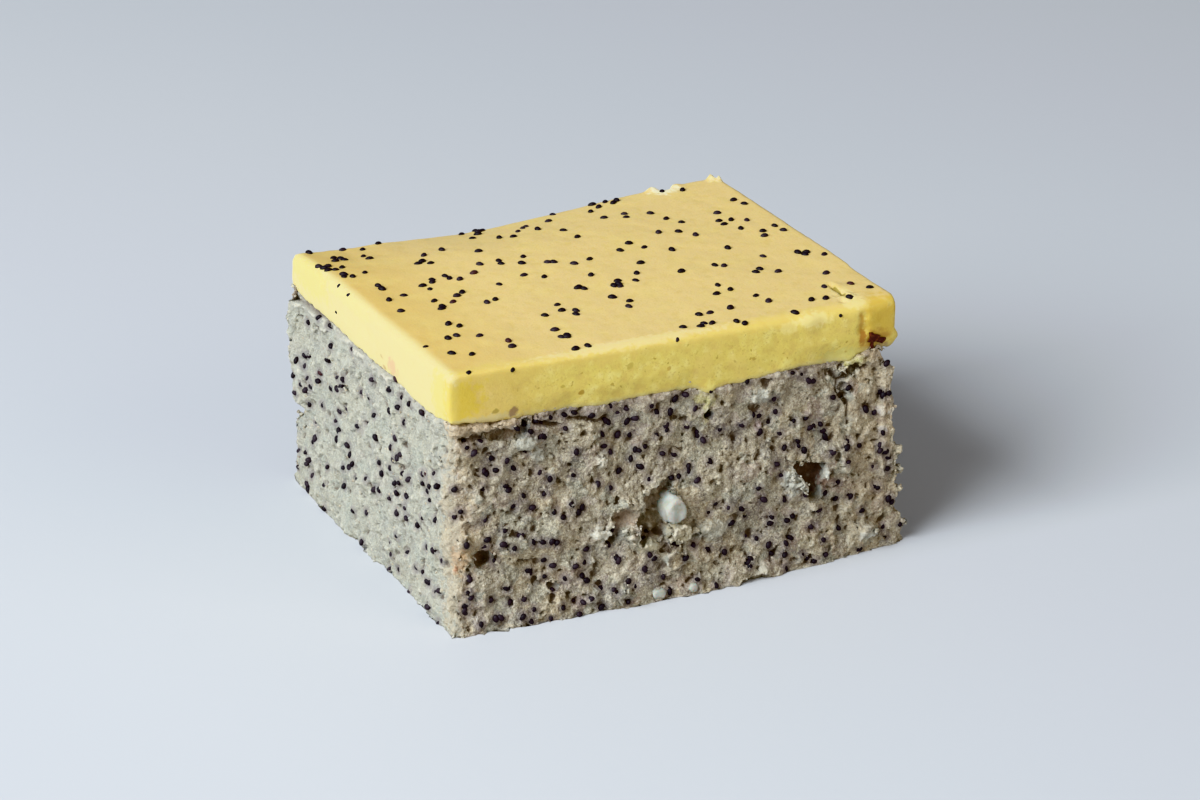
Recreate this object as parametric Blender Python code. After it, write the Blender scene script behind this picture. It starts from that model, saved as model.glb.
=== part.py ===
"""Lemon poppy seed blondie: a cut block of crumbly seeded cake under a slab of lemon icing.

Sizes are in metres. While the block is shaped, its near bottom corner is at x = 0, y = 0: x runs
along the long cut, y along the short one and z up. The last step stands it on the origin.
"""

import math
import random

import bmesh
import bpy
from mathutils import Euler, Matrix, Vector, noise
from mathutils.bvhtree import BVHTree

# Driving sizes of the cut block
LENGTH = 0.0750
DEPTH = 0.0582
LEFT_SIDE_LONGER = 0.0014

# Heights at the four corners: near, right, back and left
ICING_TOP = (0.0414, 0.0411, 0.0415, 0.0403)
SEAM = (0.0332, 0.0328, 0.0335, 0.0341)
SEAM_GAP = 0.0003

# The icing dips along its back edge, and its upper edges are softened by the knife
BACK_DIP = 0.0013
BACK_DIP_PLACE = 0.026
BACK_DIP_REACH = 0.020
ICING_EDGE = 0.0009
ICING_CELL = 0.0075
CORNER_ANGLE = math.radians(60)
SHARP_ANGLE = math.radians(40)

# How far the cake leans out at its foot: pairs of place along the side and reach
FOOT_FRONT = (
    (0.000, 0.0025),
    (0.016, 0.0032),
    (0.030, 0.0043),
    (0.046, 0.0045),
    (0.058, 0.0031),
    (0.075, 0.0012),
)
FOOT_RIGHT = ((0.000, 0.0034), (0.030, 0.0030), (0.058, 0.0022))
FOOT_BACK = ((0.000, 0.0016), (0.040, 0.0010), (0.075, 0.0018))
FOOT_LEFT = ((0.000, 0.0003), (0.025, 0.0001), (0.045, 0.0006), (0.058, 0.0000))

# The lean comes in two steps: share of the reach, drop below the seam where it starts, and length
LEAN_STEPS = ((0.55, 0.2, 0.4), (0.45, 0.7, 0.3))

# At the far left corner the cake swells under the icing: reach, height share where it fades, length
LEFT_SWELL, SWELL_FADES, SWELL_LENGTH = 0.0015, (0.62, 0.88), 0.0080

# The upright corners are worn round, most at mid height: near, right, back and left
CORNER_ROUND = (0.0030, 0.0024, 0.0024, 0.0014)
ROUND_AT_ENDS = 0.55

# Crumb relief: clumps and smaller grains
CRUMB_CELL = 0.0014
CLUMP_SIZE, CLUMP_DEPTH = 0.0052, 0.00075
GRAIN_SIZE, GRAIN_DEPTH = 0.0021, 0.00045
RIM_SIZE, RIM_DEPTH, RIM_SHARE = 0.0030, 0.0007, 0.45
UPRIGHT_SHARE = 0.5
FLOOR_CUT = 0.0003
CRUMB_TRIANGLES = 3400

# Poppy seeds: half length, the other two half widths as shares of it, and how many show
SEED_RADIUS = 0.00060
SEED_WIDTH, SEED_HEIGHT = 0.86, 0.80
SEED_SUNK = 0.28
SEED_SIZES = (0.88, 1.06)
SEED_TIP = 0.35
TOP_SEEDS = 150
SIDE_SEEDS = 90
SEED_SPACE = 0.0014
SEED_FROM_EDGE = 0.0018
SIDE_SEED_SPACE = 2.0 * SEED_SPACE
FACES_OUT = 0.75

# Close flocks of seeds on the icing: x, y, count and spread
TOP_FLOCKS = (
    (0.0045, 0.0500, 11, 0.0026),
    (0.0300, 0.0555, 5, 0.0012),
    (0.0500, 0.0530, 5, 0.0020),
    (0.0420, 0.0290, 5, 0.0020),
    (0.0290, 0.0090, 5, 0.0018),
    (0.0200, 0.0370, 5, 0.0022),
    (0.0520, 0.0080, 4, 0.0018),
    (0.0700, 0.0330, 4, 0.0018),
)
FLOCK_FLATNESS = 0.7

# Of the other seeds, this share lies beside another one, at so many seed spaces
PAIR_SHARE = 0.42
PAIR_REACH = (1.1, 1.8)

# Hollows in the front cut: centre, half sizes and turn about y in degrees
FRONT_HOLLOWS = (
    ((0.0324, -0.0030, 0.0122), (0.0019, 0.0034, 0.0041), 14),
    ((0.0349, -0.0024, 0.0172), (0.0011, 0.0026, 0.0026), 42),
    ((0.0602, -0.0016, 0.0147), (0.0015, 0.0028, 0.0020), -20),
    ((0.0618, -0.0016, 0.0137), (0.0013, 0.0028, 0.0026), 25),
    ((0.0057, -0.0018, 0.0112), (0.0012, 0.0014, 0.0013), 0),
    ((0.0262, -0.0024, 0.0112), (0.0016, 0.0012, 0.0006), 20),
    ((0.0065, -0.0003, 0.0308), (0.0050, 0.0010, 0.0005), 7),
    ((0.0505, -0.0052, 0.0000), (0.0042, 0.0022, 0.0008), 0),
)

# Pale almond lumps that stand out of the front cut beside the tall hollow: centre and half sizes
FRONT_LUMPS = (
    ((0.0364, -0.0026, 0.0143), (0.0015, 0.0013, 0.0016)),
    ((0.0372, -0.0025, 0.0106), (0.0017, 0.0010, 0.0014)),
    ((0.0428, -0.0027, 0.0097), (0.0022, 0.0008, 0.0012)),
)
LUMP_ROUGH = 0.35

# The forked crack under the icing's right end: x and z of each stroke's two ends
CRACK = (
    ((0.0632, 0.0314), (0.0662, 0.0292)),
    ((0.0700, 0.0318), (0.0660, 0.0293)),
    ((0.0661, 0.0297), (0.0676, 0.0240)),
)
CRACK_WIDTH, CRACK_DEPTH, CRACK_ROUGH = 0.00045, 0.0017, 0.3

# A bite out of the icing's back edge, left by the knife
NICK_PLACE = (0.0640, 0.0584, 0.0418)
NICK_SIZE = (0.0024, 0.0012, 0.0010)
NICK_ROUGH = 0.3


def across(corners, x, y):
    """The height at x, y of a sheet that passes through four corner heights."""
    u = x / LENGTH
    v = y / DEPTH
    near, right, back, left = corners
    front_side = near + (right - near) * u
    back_side = left + (back - left) * u
    return front_side + (back_side - front_side) * v


def seam_height(x, y):
    return across(SEAM, x, y)


def icing_height(x, y):
    along = (x - BACK_DIP_PLACE) / BACK_DIP_REACH
    dip = BACK_DIP * math.exp(-along * along) * (y / DEPTH) ** 2
    return across(ICING_TOP, x, y) - dip


def along_side(pairs, place):
    """The value at a place along one side, straight between its pairs."""
    for (start, first), (end, last) in zip(pairs, pairs[1:]):
        if place <= end:
            share = (place - start) / (end - start)
            return first + (last - first) * max(0.0, share)
    return pairs[-1][1]


def smooth_step(share):
    share = min(1.0, max(0.0, share))
    return share * share * (3.0 - 2.0 * share)


def clear_scene():
    for item in list(bpy.data.objects):
        bpy.data.objects.remove(item)


def new_collection(name, helper=False):
    made = bpy.data.collections.new(name)
    made.hide_render = helper
    bpy.context.scene.collection.children.link(made)
    return made


def new_material(name, colour, roughness):
    made = bpy.data.materials.new(name)
    made.use_nodes = True
    shader = made.node_tree.nodes["Principled BSDF"]
    shader.inputs["Base Color"].default_value = (*colour, 1.0)
    shader.inputs["Roughness"].default_value = roughness
    shader.inputs["Metallic"].default_value = 0.0
    made.diffuse_color = (*colour, 1.0)
    return made


def object_from(bm, name, collection):
    mesh = bpy.data.meshes.new(name)
    bm.to_mesh(mesh)
    bm.free()
    made = bpy.data.objects.new(name, mesh)
    collection.objects.link(made)
    return made


def sliced_box(size, cell):
    """A closed box with its near bottom corner at the origin, sliced into cells of about that width."""
    bm = bmesh.new()
    place = Matrix.Diagonal((*size, 1.0)) @ Matrix.Translation((0.5, 0.5, 0.5))
    bmesh.ops.create_cube(bm, size=1.0, matrix=place)
    for axis, side in enumerate(size):
        normal = Vector((0.0, 0.0, 0.0))
        normal[axis] = 1.0
        slices = max(1, round(side / cell[axis]))
        for step in range(1, slices):
            everything = bm.verts[:] + bm.edges[:] + bm.faces[:]
            bmesh.ops.bisect_plane(
                bm, geom=everything, plane_co=normal * side * step / slices, plane_no=normal
            )
    return bm


def apply_modifiers(target):
    """Bakes the modifiers into the object's mesh."""
    bpy.context.view_layer.update()
    graph = bpy.context.evaluated_depsgraph_get()
    before = target.data
    after = bpy.data.meshes.new_from_object(target.evaluated_get(graph))
    target.modifiers.clear()
    target.data = after
    bpy.data.meshes.remove(before)
    after.name = target.name


def boolean_with(target, collection, operation):
    """Joins or cuts the target with all that the collection holds, then removes those helpers."""
    change = target.modifiers.new("joined" if operation == "UNION" else "cut", "BOOLEAN")
    change.operand_type = "COLLECTION"
    change.collection = collection
    change.operation = operation
    change.solver = "EXACT"
    apply_modifiers(target)
    for helper in list(collection.objects):
        bpy.data.objects.remove(helper)
    bpy.data.collections.remove(collection)


def blob(name, collection, centre, half_sizes, turn=Euler(), rough=0.0, detail=2):
    """A rounded lump, used for hollows: an icosphere stretched, turned and made uneven."""
    bm = bmesh.new()
    bmesh.ops.create_icosphere(bm, subdivisions=detail, radius=1.0)
    seat = Vector(centre) * 1000.0
    for vert in bm.verts:
        vert.co *= 1.0 + rough * noise.noise(vert.co * 1.7 + seat)
        stretched = Vector((vert.co[axis] * half_sizes[axis] for axis in range(3)))
        stretched.rotate(turn)
        vert.co = stretched + Vector(centre)
    made = object_from(bm, name, collection)
    made.display_type = "WIRE"
    return made


def crumb_relief(point):
    clumps = noise.noise(point / CLUMP_SIZE)
    grains = noise.noise(point / GRAIN_SIZE + Vector((7.1, 3.3, 9.7)))
    return CLUMP_DEPTH * clumps + GRAIN_DEPTH * grains


def lean_out(point, height):
    """How far the cake's side stands out from the straight cut, as an x and y shift."""
    drop = 1.0 - point.z / height
    down = sum(share * smooth_step((drop - start) / length) for share, start, length in LEAN_STEPS)
    shift = Vector((0.0, 0.0, 0.0))
    u = point.x / LENGTH
    v = point.y / DEPTH
    shift.y -= along_side(FOOT_FRONT, point.x) * down * (1.0 - v)
    shift.y += along_side(FOOT_BACK, point.x) * down * v
    shift.x += along_side(FOOT_RIGHT, point.y) * down * u
    shift.x -= along_side(FOOT_LEFT, point.y) * down * (1.0 - u)
    low, high = SWELL_FADES
    upper = smooth_step((1.0 - drop - low) / (high - low))
    far_left = smooth_step(1.0 - (DEPTH - point.y) / SWELL_LENGTH)
    shift.x -= LEFT_SWELL * upper * far_left * (1.0 - u)
    return shift


def round_corner(point, height):
    """Moves a point near an upright corner onto that corner's round."""
    is_right = point.x > LENGTH / 2.0
    is_back = point.y > DEPTH / 2.0
    radius = CORNER_ROUND[(3 if is_back else 0) if not is_right else (2 if is_back else 1)]
    radius *= ROUND_AT_ENDS + (1.0 - ROUND_AT_ENDS) * math.sin(math.pi * point.z / height)
    middle_x = LENGTH - radius if is_right else radius
    middle_y = DEPTH - radius if is_back else radius
    out_x = (point.x - middle_x) * (1.0 if is_right else -1.0)
    out_y = (point.y - middle_y) * (1.0 if is_back else -1.0)
    if out_x <= 0.0 or out_y <= 0.0:
        return point
    share = max(out_x, out_y) / math.hypot(out_x, out_y)
    return Vector(
        (
            middle_x + (point.x - middle_x) * share,
            middle_y + (point.y - middle_y) * share,
            point.z,
        )
    )


def widen_left(bm):
    """Makes the left cut longer than the right one."""
    for vert in bm.verts:
        vert.co.y *= 1.0 + LEFT_SIDE_LONGER / DEPTH * (1.0 - vert.co.x / LENGTH)


def shape_crumb(bm):
    """Moves the sliced box's points to the leaning, clumpy cut sides."""
    height = max(SEAM)
    edge = CRUMB_CELL * 0.1
    for vert in bm.verts:
        start = vert.co.copy()
        outward = Vector((0.0, 0.0, 0.0))
        outward.x = (start.x > LENGTH - edge) - (start.x < edge)
        outward.y = (start.y > DEPTH - edge) - (start.y < edge)
        level = start.z / height
        vert.co = round_corner(start, height) + lean_out(start, height)
        vert.co.z = level * (seam_height(start.x, start.y) + FLOOR_CUT) - FLOOR_CUT
        if outward.length == 0.0:
            continue
        outward.normalize()
        bumps = crumb_relief(start)
        if start.z > height - edge:
            torn = noise.noise(start / RIM_SIZE + Vector((2.0, 5.0, 1.0)))
            bumps = -RIM_DEPTH * max(0.0, RIM_SHARE + torn)
        vert.co += outward * bumps
        if edge < start.z < height - edge:
            vert.co.z += UPRIGHT_SHARE * crumb_relief(start.zxy)


def level_foot(target):
    """Cuts the underside flat at z = 0, just above the lowest crumbs, and closes it with one face."""
    bm = bmesh.new()
    bm.from_mesh(target.data)
    everything = bm.verts[:] + bm.edges[:] + bm.faces[:]
    bmesh.ops.bisect_plane(
        bm,
        geom=everything,
        plane_co=(0.0, 0.0, 0.0),
        plane_no=(0.0, 0.0, 1.0),
        clear_inner=True,
    )
    rim = [edge for edge in bm.edges if edge.is_boundary]
    bmesh.ops.holes_fill(bm, edges=rim)
    bmesh.ops.recalc_face_normals(bm, faces=bm.faces[:])
    bm.to_mesh(target.data)
    bm.free()


def thin_out(target, triangles):
    """Keeps about so many triangles, fewest where the surface is flat."""
    target.data.calc_loop_triangles()
    fewer = target.modifiers.new("fewer", "DECIMATE")
    fewer.ratio = triangles / len(target.data.loop_triangles)
    fewer.use_collapse_triangulate = True
    apply_modifiers(target)


def settle_under_seam(target):
    """Puts the hidden upper face back on the seam after the thinning."""
    for vert in target.data.vertices:
        seam = seam_height(vert.co.x, vert.co.y)
        if vert.co.z > seam - CRUMB_CELL * 0.1:
            vert.co.z = seam


def front_hollows(collection):
    for number, (centre, half_sizes, turn) in enumerate(FRONT_HOLLOWS):
        tilt = Euler((0.0, math.radians(turn), 0.0))
        blob(f"hollow_{number}", collection, centre, half_sizes, tilt, LUMP_ROUGH)


def front_lumps():
    lumps = new_collection("front_lumps", helper=True)
    for number, (centre, half_sizes) in enumerate(FRONT_LUMPS):
        blob(f"lump_{number}", lumps, centre, half_sizes, rough=LUMP_ROUGH)
    return lumps


def forked_crack(collection):
    for number, ((x0, z0), (x1, z1)) in enumerate(CRACK):
        centre = ((x0 + x1) / 2.0, 0.0, (z0 + z1) / 2.0)
        half_length = math.hypot(x1 - x0, z1 - z0) / 2.0 + CRACK_WIDTH
        tilt = Euler((0.0, -math.atan2(z1 - z0, x1 - x0), 0.0))
        sizes = (half_length, CRACK_DEPTH, CRACK_WIDTH)
        blob(f"crack_{number}", collection, centre, sizes, tilt, CRACK_ROUGH)


def seed_on(collection, point, normal, rng):
    """One poppy seed, a small flattened bean, sunk a little into what it lies on."""
    bm = bmesh.new()
    bmesh.ops.create_icosphere(bm, subdivisions=1, radius=SEED_RADIUS)
    size = rng.uniform(*SEED_SIZES)
    bmesh.ops.scale(bm, vec=(size, size * SEED_WIDTH, size * SEED_HEIGHT), verts=bm.verts[:])
    upright = normal.to_track_quat("Z", "Y").to_matrix().to_4x4()
    spin = Matrix.Rotation(rng.uniform(0.0, math.tau), 4, "Z")
    tip = Matrix.Rotation(rng.uniform(-SEED_TIP, SEED_TIP), 4, "X")
    centre = point + normal * SEED_RADIUS * SEED_HEIGHT * (1.0 - 2.0 * SEED_SUNK)
    bmesh.ops.transform(
        bm, matrix=Matrix.Translation(centre) @ upright @ spin @ tip, verts=bm.verts[:]
    )
    object_from(bm, f"seed_{len(collection.objects)}", collection)


def is_free(point, taken, space):
    return all((point - other).length > space for other in taken)


def top_places(rng):
    """Where the seeds lie on the icing: flocks, then single seeds, pairs and short chains."""
    places = []
    margin = SEED_FROM_EDGE

    def try_place(x, y):
        inside = margin < x < LENGTH - margin and margin < y < DEPTH - margin
        place = Vector((x, y, 0.0))
        if inside and is_free(place, places, SEED_SPACE):
            places.append(place)

    for x, y, count, spread in TOP_FLOCKS:
        for _ in range(count):
            try_place(rng.gauss(x, spread), rng.gauss(y, spread * FLOCK_FLATNESS))
    while len(places) < TOP_SEEDS:
        if rng.random() < PAIR_SHARE:
            near = rng.choice(places)
            angle = rng.uniform(0.0, math.tau)
            reach = rng.uniform(*PAIR_REACH) * SEED_SPACE
            try_place(near.x + reach * math.cos(angle), near.y + reach * math.sin(angle))
        else:
            spots = [Vector((rng.uniform(0.0, LENGTH), rng.uniform(0.0, DEPTH), 0.0)) for _ in range(3)]
            lonely = max(spots, key=lambda spot: min((spot - other).length for other in places))
            try_place(lonely.x, lonely.y)
    return places


def seeds_on_top(icing, rng):
    seeds = new_collection("top_seeds", helper=True)
    surface = BVHTree.FromObject(icing, bpy.context.evaluated_depsgraph_get())
    for place in top_places(rng):
        start = Vector((place.x, place.y, 2.0 * max(ICING_TOP)))
        point, normal, _, _ = surface.ray_cast(start, Vector((0.0, 0.0, -1.0)))
        seed_on(seeds, point, normal, rng)
    return seeds


def seeds_on_sides(crumb, rng):
    """Spreads seeds evenly round the four cut sides, clear of the seam and the floor."""
    seeds = new_collection("side_seeds", helper=True)
    surface = BVHTree.FromObject(crumb, bpy.context.evaluated_depsgraph_get())
    centre = Vector((LENGTH / 2.0, DEPTH / 2.0, 0.0))
    round_length = 2.0 * (LENGTH + DEPTH)
    taken = []
    while len(taken) < SIDE_SEEDS:
        place = rng.uniform(0.0, round_length)
        height = rng.uniform(SEED_FROM_EDGE, min(SEAM) - SEED_FROM_EDGE)
        if place < 2.0 * LENGTH:
            side = -1.0 if place < LENGTH else 1.0
            start = Vector((place % LENGTH, centre.y + side * DEPTH, height))
            inward = Vector((0.0, -side, 0.0))
        else:
            side = -1.0 if place < 2.0 * LENGTH + DEPTH else 1.0
            start = Vector((centre.x + side * LENGTH, (place - 2.0 * LENGTH) % DEPTH, height))
            inward = Vector((-side, 0.0, 0.0))
        point, normal, _, _ = surface.ray_cast(start, inward)
        if point is None or normal.dot(inward) > -FACES_OUT:
            continue
        if not is_free(point, taken, SIDE_SEED_SPACE):
            continue
        taken.append(point)
        seed_on(seeds, point, normal, rng)
    return seeds


def make_crumb_base(collection, rng):
    height = max(SEAM)
    bm = sliced_box((LENGTH, DEPTH, height), (CRUMB_CELL,) * 3)
    shape_crumb(bm)
    widen_left(bm)
    crumb = object_from(bm, "crumb_base", collection)
    hollows = new_collection("hollows", helper=True)
    front_hollows(hollows)
    forked_crack(hollows)
    boolean_with(crumb, hollows, "DIFFERENCE")
    boolean_with(crumb, front_lumps(), "UNION")
    thin_out(crumb, CRUMB_TRIANGLES)
    settle_under_seam(crumb)
    level_foot(crumb)
    boolean_with(crumb, seeds_on_sides(crumb, rng), "UNION")
    crumb.data.materials.clear()
    crumb.data.materials.append(new_material("seeded_crumb", (0.45, 0.41, 0.33), 0.9))
    return crumb


def make_lemon_icing(collection, rng):
    height = max(ICING_TOP)
    bm = sliced_box((LENGTH, DEPTH, height), (ICING_CELL, ICING_CELL, height))
    for vert in bm.verts:
        is_top = vert.co.z > height / 2.0
        under = seam_height(vert.co.x, vert.co.y) + SEAM_GAP
        vert.co.z = icing_height(vert.co.x, vert.co.y) if is_top else under
    widen_left(bm)
    corners = [edge for edge in bm.edges if edge.calc_face_angle(0.0) > CORNER_ANGLE]
    upper = [edge for edge in corners if max(vert.co.z for vert in edge.verts) > max(SEAM) + SEAM_GAP]
    bmesh.ops.bevel(
        bm, geom=upper, offset=ICING_EDGE, segments=2, profile=0.5, affect="EDGES", clamp_overlap=True
    )
    icing = object_from(bm, "lemon_icing", collection)
    nick = new_collection("nick", helper=True)
    blob("nick_0", nick, NICK_PLACE, NICK_SIZE, rough=NICK_ROUGH)
    boolean_with(icing, nick, "DIFFERENCE")
    boolean_with(icing, seeds_on_top(icing, rng), "UNION")
    icing.data.materials.clear()
    icing.data.materials.append(new_material("lemon_icing", (0.78, 0.62, 0.11), 0.45))
    return icing


def stand_on_origin(parts):
    """Moves the parts together, so that the origin is under the middle of their bounding box."""
    points = [vert.co for part in parts for vert in part.data.vertices]
    low = Vector((min(point[axis] for point in points) for axis in range(3)))
    high = Vector((max(point[axis] for point in points) for axis in range(3)))
    middle = (low + high) / 2.0
    shift = Matrix.Translation((-middle.x, -middle.y, -low.z))
    for part in parts:
        part.data.transform(shift)
        part.data.shade_smooth()
        part.data.set_sharp_from_angle(angle=SHARP_ANGLE)
    print("box in mm:", [round(side * 1000.0, 2) for side in high - low])


def main():
    clear_scene()
    blondie = new_collection("lemon_poppy_seed_blondie")
    crumb = make_crumb_base(blondie, random.Random(11))
    icing = make_lemon_icing(blondie, random.Random(23))
    stand_on_origin([crumb, icing])


main()
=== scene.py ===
# %% [markdown]
# # A lemon poppy seed blondie
# One cut from a tray bake: open, crumbly cake full of poppy seeds, under a slab of smooth lemon
# icing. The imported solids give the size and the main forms, and this file dresses them.

import math
from functools import partial

import bmesh
import bpy
import numpy as np
from mathutils import Matrix, Vector, kdtree
from mathutils.bvhtree import BVHTree


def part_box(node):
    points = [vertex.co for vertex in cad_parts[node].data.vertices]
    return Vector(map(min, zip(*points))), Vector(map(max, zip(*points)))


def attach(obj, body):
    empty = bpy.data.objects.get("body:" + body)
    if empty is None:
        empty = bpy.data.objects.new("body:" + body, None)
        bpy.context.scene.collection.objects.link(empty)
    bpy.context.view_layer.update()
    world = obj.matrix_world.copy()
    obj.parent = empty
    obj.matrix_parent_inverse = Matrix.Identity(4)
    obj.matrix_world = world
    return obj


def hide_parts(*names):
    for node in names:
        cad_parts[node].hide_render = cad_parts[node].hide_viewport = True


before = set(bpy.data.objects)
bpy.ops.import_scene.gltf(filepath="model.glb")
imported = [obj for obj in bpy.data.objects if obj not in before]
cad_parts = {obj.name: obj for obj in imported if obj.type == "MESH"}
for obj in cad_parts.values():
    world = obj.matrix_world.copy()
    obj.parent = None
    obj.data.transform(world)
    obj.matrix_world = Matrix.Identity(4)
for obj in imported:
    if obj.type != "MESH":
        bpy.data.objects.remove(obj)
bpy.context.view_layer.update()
icing_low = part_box("lemon_icing")[0]
NEAR = Vector((icing_low.x, icing_low.y, 0.0))
MM = 0.001
EYE = (-220.11, -485.14, 269.41)

# %% [markdown]
# ## Working by hand
# Every piece is picked, edited and finished with modifiers, as it would be in Blender's window,
# and small helpers do the picking. Places are given in millimetres from the block's near corner:
# x along the long cut, y away, z up.


# %% Helpers for places
def at(x, y, z):
    """The point in the scene that lies x, y, z millimetres from the near corner."""
    return NEAR + Vector((x, y, z)) * MM


def in_mm(places):
    """Places in the scene, one in each row, as millimetres from the near corner."""
    return (places - np.array(NEAR)) / MM


def outline_of(text):
    """Places that are kept as text in tenths of a millimetre, such as 75,308 for 7.5 and 30.8."""
    return [tuple(int(number) / 10 for number in place.split(",")) for place in text.split()]


def rows_of(table, count):
    """The rows of a table that is kept as text: some numbers in each, and then the rest of it."""
    for row in table.strip().splitlines():
        *numbers, rest = row.split(" ", count)
        yield *map(float, numbers), rest


def read(piece, what="co"):
    """The places or the normals of a piece's points, one row for each."""
    values = np.zeros(len(piece.data.vertices) * 3)
    piece.data.vertices.foreach_get(what, values)
    return values.reshape(-1, 3)


def write(piece, places):
    piece.data.vertices.foreach_set("co", places.ravel())
    piece.data.update()


def store(piece, name, values, kind="FLOAT"):
    """Keeps a number or a vector for each point, which a material or a scatter can read."""
    kept = piece.data.attributes.get(name) or piece.data.attributes.new(name, kind, "POINT")
    kept.data.foreach_set("value" if kind == "FLOAT" else "vector", np.asarray(values, np.float32).ravel())


# %% Helpers for picking, editing and applying
def new_object(name, data):
    made = bpy.data.objects.new(name, data)
    bpy.context.scene.collection.objects.link(made)
    return made


def pick(*pieces):
    """Selects these pieces alone, with the first one active, or nothing at all."""
    bpy.ops.object.select_all(action="DESELECT")
    for piece in pieces:
        piece.select_set(True)
    bpy.context.view_layer.objects.active = pieces[0] if pieces else None


def modify(piece, kind, **settings):
    """Gives a piece one modifier and applies it."""
    pick(piece)
    modifier = piece.modifiers.new(kind.lower(), kind)
    for name, value in settings.items():
        setattr(modifier, name, value)
    bpy.ops.object.modifier_apply(modifier=modifier.name)


def remesh(piece, grid, smooths=0):
    """Rebuilds a piece from even squares, of a size in millimetres, and smooths it some times."""
    modify(piece, "REMESH", mode="VOXEL", voxel_size=grid * MM)
    if smooths:
        modify(piece, "SMOOTH", factor=0.5, iterations=smooths)


def texture(kind, size, **settings):
    """A procedural texture for a Displace modifier, with features about size millimetres wide."""
    made = bpy.data.textures.new(kind.lower(), kind)
    made.noise_scale = size * MM
    for name, value in settings.items():
        setattr(made, name, value)
    return made


def displace(piece, pattern, strength, mid=0.5, **settings):
    """Pushes a piece's points out and in by a strength in millimetres, as a texture says."""
    modify(piece, "DISPLACE", texture=pattern, strength=strength * MM, mid_level=mid, **settings)


def edit(piece, action="SELECT"):
    """Goes into edit mode with all of a piece selected, or none of it."""
    pick(piece)
    bpy.ops.object.mode_set(mode="EDIT")
    bpy.ops.mesh.select_all(action=action)


def leave_edit():
    bpy.ops.object.mode_set(mode="OBJECT")


def select_where(piece, test, kind="FACE"):
    """Goes into edit mode and selects what passes a test of its middle and its normal."""
    edit(piece, "DESELECT")
    bpy.ops.mesh.select_mode(type=kind)
    bm = bmesh.from_edit_mesh(piece.data)
    for part in {"VERT": bm.verts, "EDGE": bm.edges, "FACE": bm.faces}[kind]:
        if kind == "VERT":
            middle, normal = part.co, part.normal
        elif kind == "EDGE":
            middle, normal = (part.verts[0].co + part.verts[1].co) / 2, part.verts[0].normal
        else:
            middle, normal = part.calc_center_median(), part.normal
        part.select_set(bool(test((middle - NEAR) / MM, normal)))
    bm.select_flush_mode()
    bmesh.update_edit_mesh(piece.data)


def refill(piece, test):
    """Swaps a hidden area of small faces for a few large ones."""
    select_where(piece, test)
    bpy.ops.mesh.delete(type="FACE")
    bpy.ops.mesh.select_mode(type="EDGE")
    bpy.ops.mesh.select_non_manifold()
    bpy.ops.mesh.fill()
    leave_edit()


# %% [markdown]
# ## The crumb's body
# The knife tore the cake open, so its sides are clumps of a few millimetres, made of grains of
# under one, with dark gaps between. The solid already has the lean, the hollows and the crack. A
# copy of it is remeshed into small even squares and pushed in and out by cell and cloud patterns,
# coarse to fine: real relief, which a bump in the material couldn't show on the outline.

# %% Copy the crumb's solid
INTO_ICING = 0.7

crumb = new_object("crumb_block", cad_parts["crumb_base"].data.copy())
crumb.data.materials.clear()
edit(crumb)
bpy.ops.mesh.remove_doubles(threshold=1e-6)
leave_edit()
select_where(crumb, lambda place, normal: normal.z > 0.9 and place.z > 31)
bpy.ops.transform.translate(value=(0, 0, INTO_ICING * MM))
leave_edit()


# %% Helper for blocks with a drawn outline
def face_y(x, z):
    """How far away the front of the crumb is, at x and z."""
    return (crumb.ray_cast(at(x, -20, z), (0, 1, 0))[1] - NEAR).y / MM


def prism(text, near, far, narrow=1.0):
    """A block whose outline is given in x and z, from y near to y far, narrower at the far end."""
    block = new_object("block", bpy.data.meshes.new("block"))
    outline = outline_of(text)
    block.data.from_pydata([at(x, near, z) for x, z in outline], [], [range(len(outline))])
    edit(block)
    bpy.ops.mesh.extrude_region_move(TRANSFORM_OT_translate={"value": (0, (far - near) * MM, 0)})
    bpy.ops.transform.resize(value=(narrow, 1, narrow))
    bpy.ops.mesh.select_all(action="SELECT")
    bpy.ops.mesh.normals_make_consistent(inside=False)
    leave_edit()
    return block


# %% Cut the hollows of the front, and add its clumps
# Each has how deep it is cut in or how far it stands out, how much narrower a hollow is inside,
# and its outline in x and z.
HOLLOWS = """
2.4 0.85 364,186 368,180 361,173 364,167 358,162 348,156 343,148 343,138 323,136 310,147 315,154 316,162 \
311,167 305,168 317,172 324,174 326,180 334,176 344,177 353,182
2 0.9 343,140 348,127 355,116 354,106 347,98 338,96 326,102 310,100 306,106 308,117 306,127 304,137 \
310,148
1.5 0.9 267,157 287,155 308,148 306,136 286,130 277,125 272,109 262,109 261,123 264,145
2.2 0.8 240,112 257,115 269,116 270,106 261,104 247,106
1.8 0.8 253,130 261,130 271,134 267,125 256,123
3.6 0.85 574,171 583,173 589,164 594,175 601,168 605,159 612,165 623,165 630,156 633,146 628,141 629,132 \
624,120 620,109 613,103 605,107 596,121 596,138 585,153
1.2 0.6 625,136 644,132 642,120 622,120
2 0.7 43,128 54,131 65,120 63,106 51,101 40,106 37,120
1.6 0.7 155,59 164,61 171,53 165,44 155,50
2 0.9 66,312 80,306 100,310 120,308 126,324 134,324 128,306 120,298 98,298 82,299 64,302
2 0.7 422,289 430,283 438,286 440,276 432,265 424,275
1.6 0.7 580,206 587,209 590,196 586,188 580,194
6 1 739,313 735,320 736,345 775,345 775,310 746,308
2 1 339,139 342,152 350,165 358,170 367,167 372,152 377,139 376,130 368,123 360,120 350,126
"""
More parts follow.
